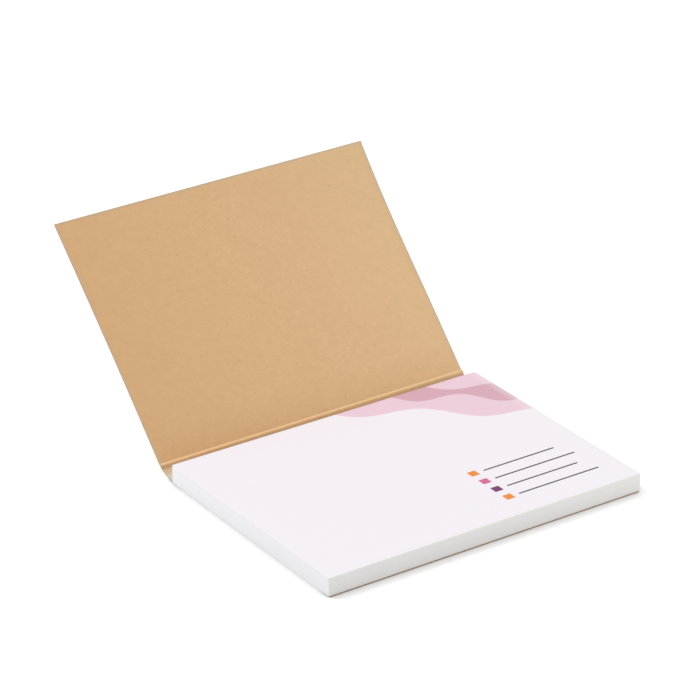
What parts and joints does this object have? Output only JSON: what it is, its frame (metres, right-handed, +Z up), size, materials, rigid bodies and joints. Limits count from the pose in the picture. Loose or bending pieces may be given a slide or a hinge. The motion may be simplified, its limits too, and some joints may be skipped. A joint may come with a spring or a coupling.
{
  "type": "sticky note pad",
  "caption": "Block of adhesive notes on a folded kraft card: a flat base panel under the block, a narrow hinged spine behind it and a hinged front cover that closes over the notes.",
  "frame": {"origin": "centre of the base panel's underside, below the middle of the block of notes", "axes": "+Z up out of the surface it lies on, +Y from the reader towards the spine, +X along the spine from left to right"},
  "size_m": [0.1, 0.1329, 0.0566],
  "materials": {
    "note_paper": "matte uncoated white paper",
    "kraft_card": "matte brown kraft card"
  },
  "bodies": {
    "base": {"base_card": "kraft_card", "note_block": "note_paper"},
    "spine": {"spine": "kraft_card"},
    "cover": {"front_cover": "kraft_card"}
  },
  "joints": [
    {"name": "spine_fold", "type": "hinge", "parent": "base", "child": "spine", "pos_m": [0, 0.03745, 0.00035], "axis": [1, 0, 0], "range_deg": [-22.5, 67.5]},
    {"name": "cover_fold", "type": "hinge", "parent": "spine", "child": "cover", "pos_m": [0, 0.04276, 0.00255], "axis": [1, 0, 0], "range_deg": [-21.8, 65.8]}
  ]
}
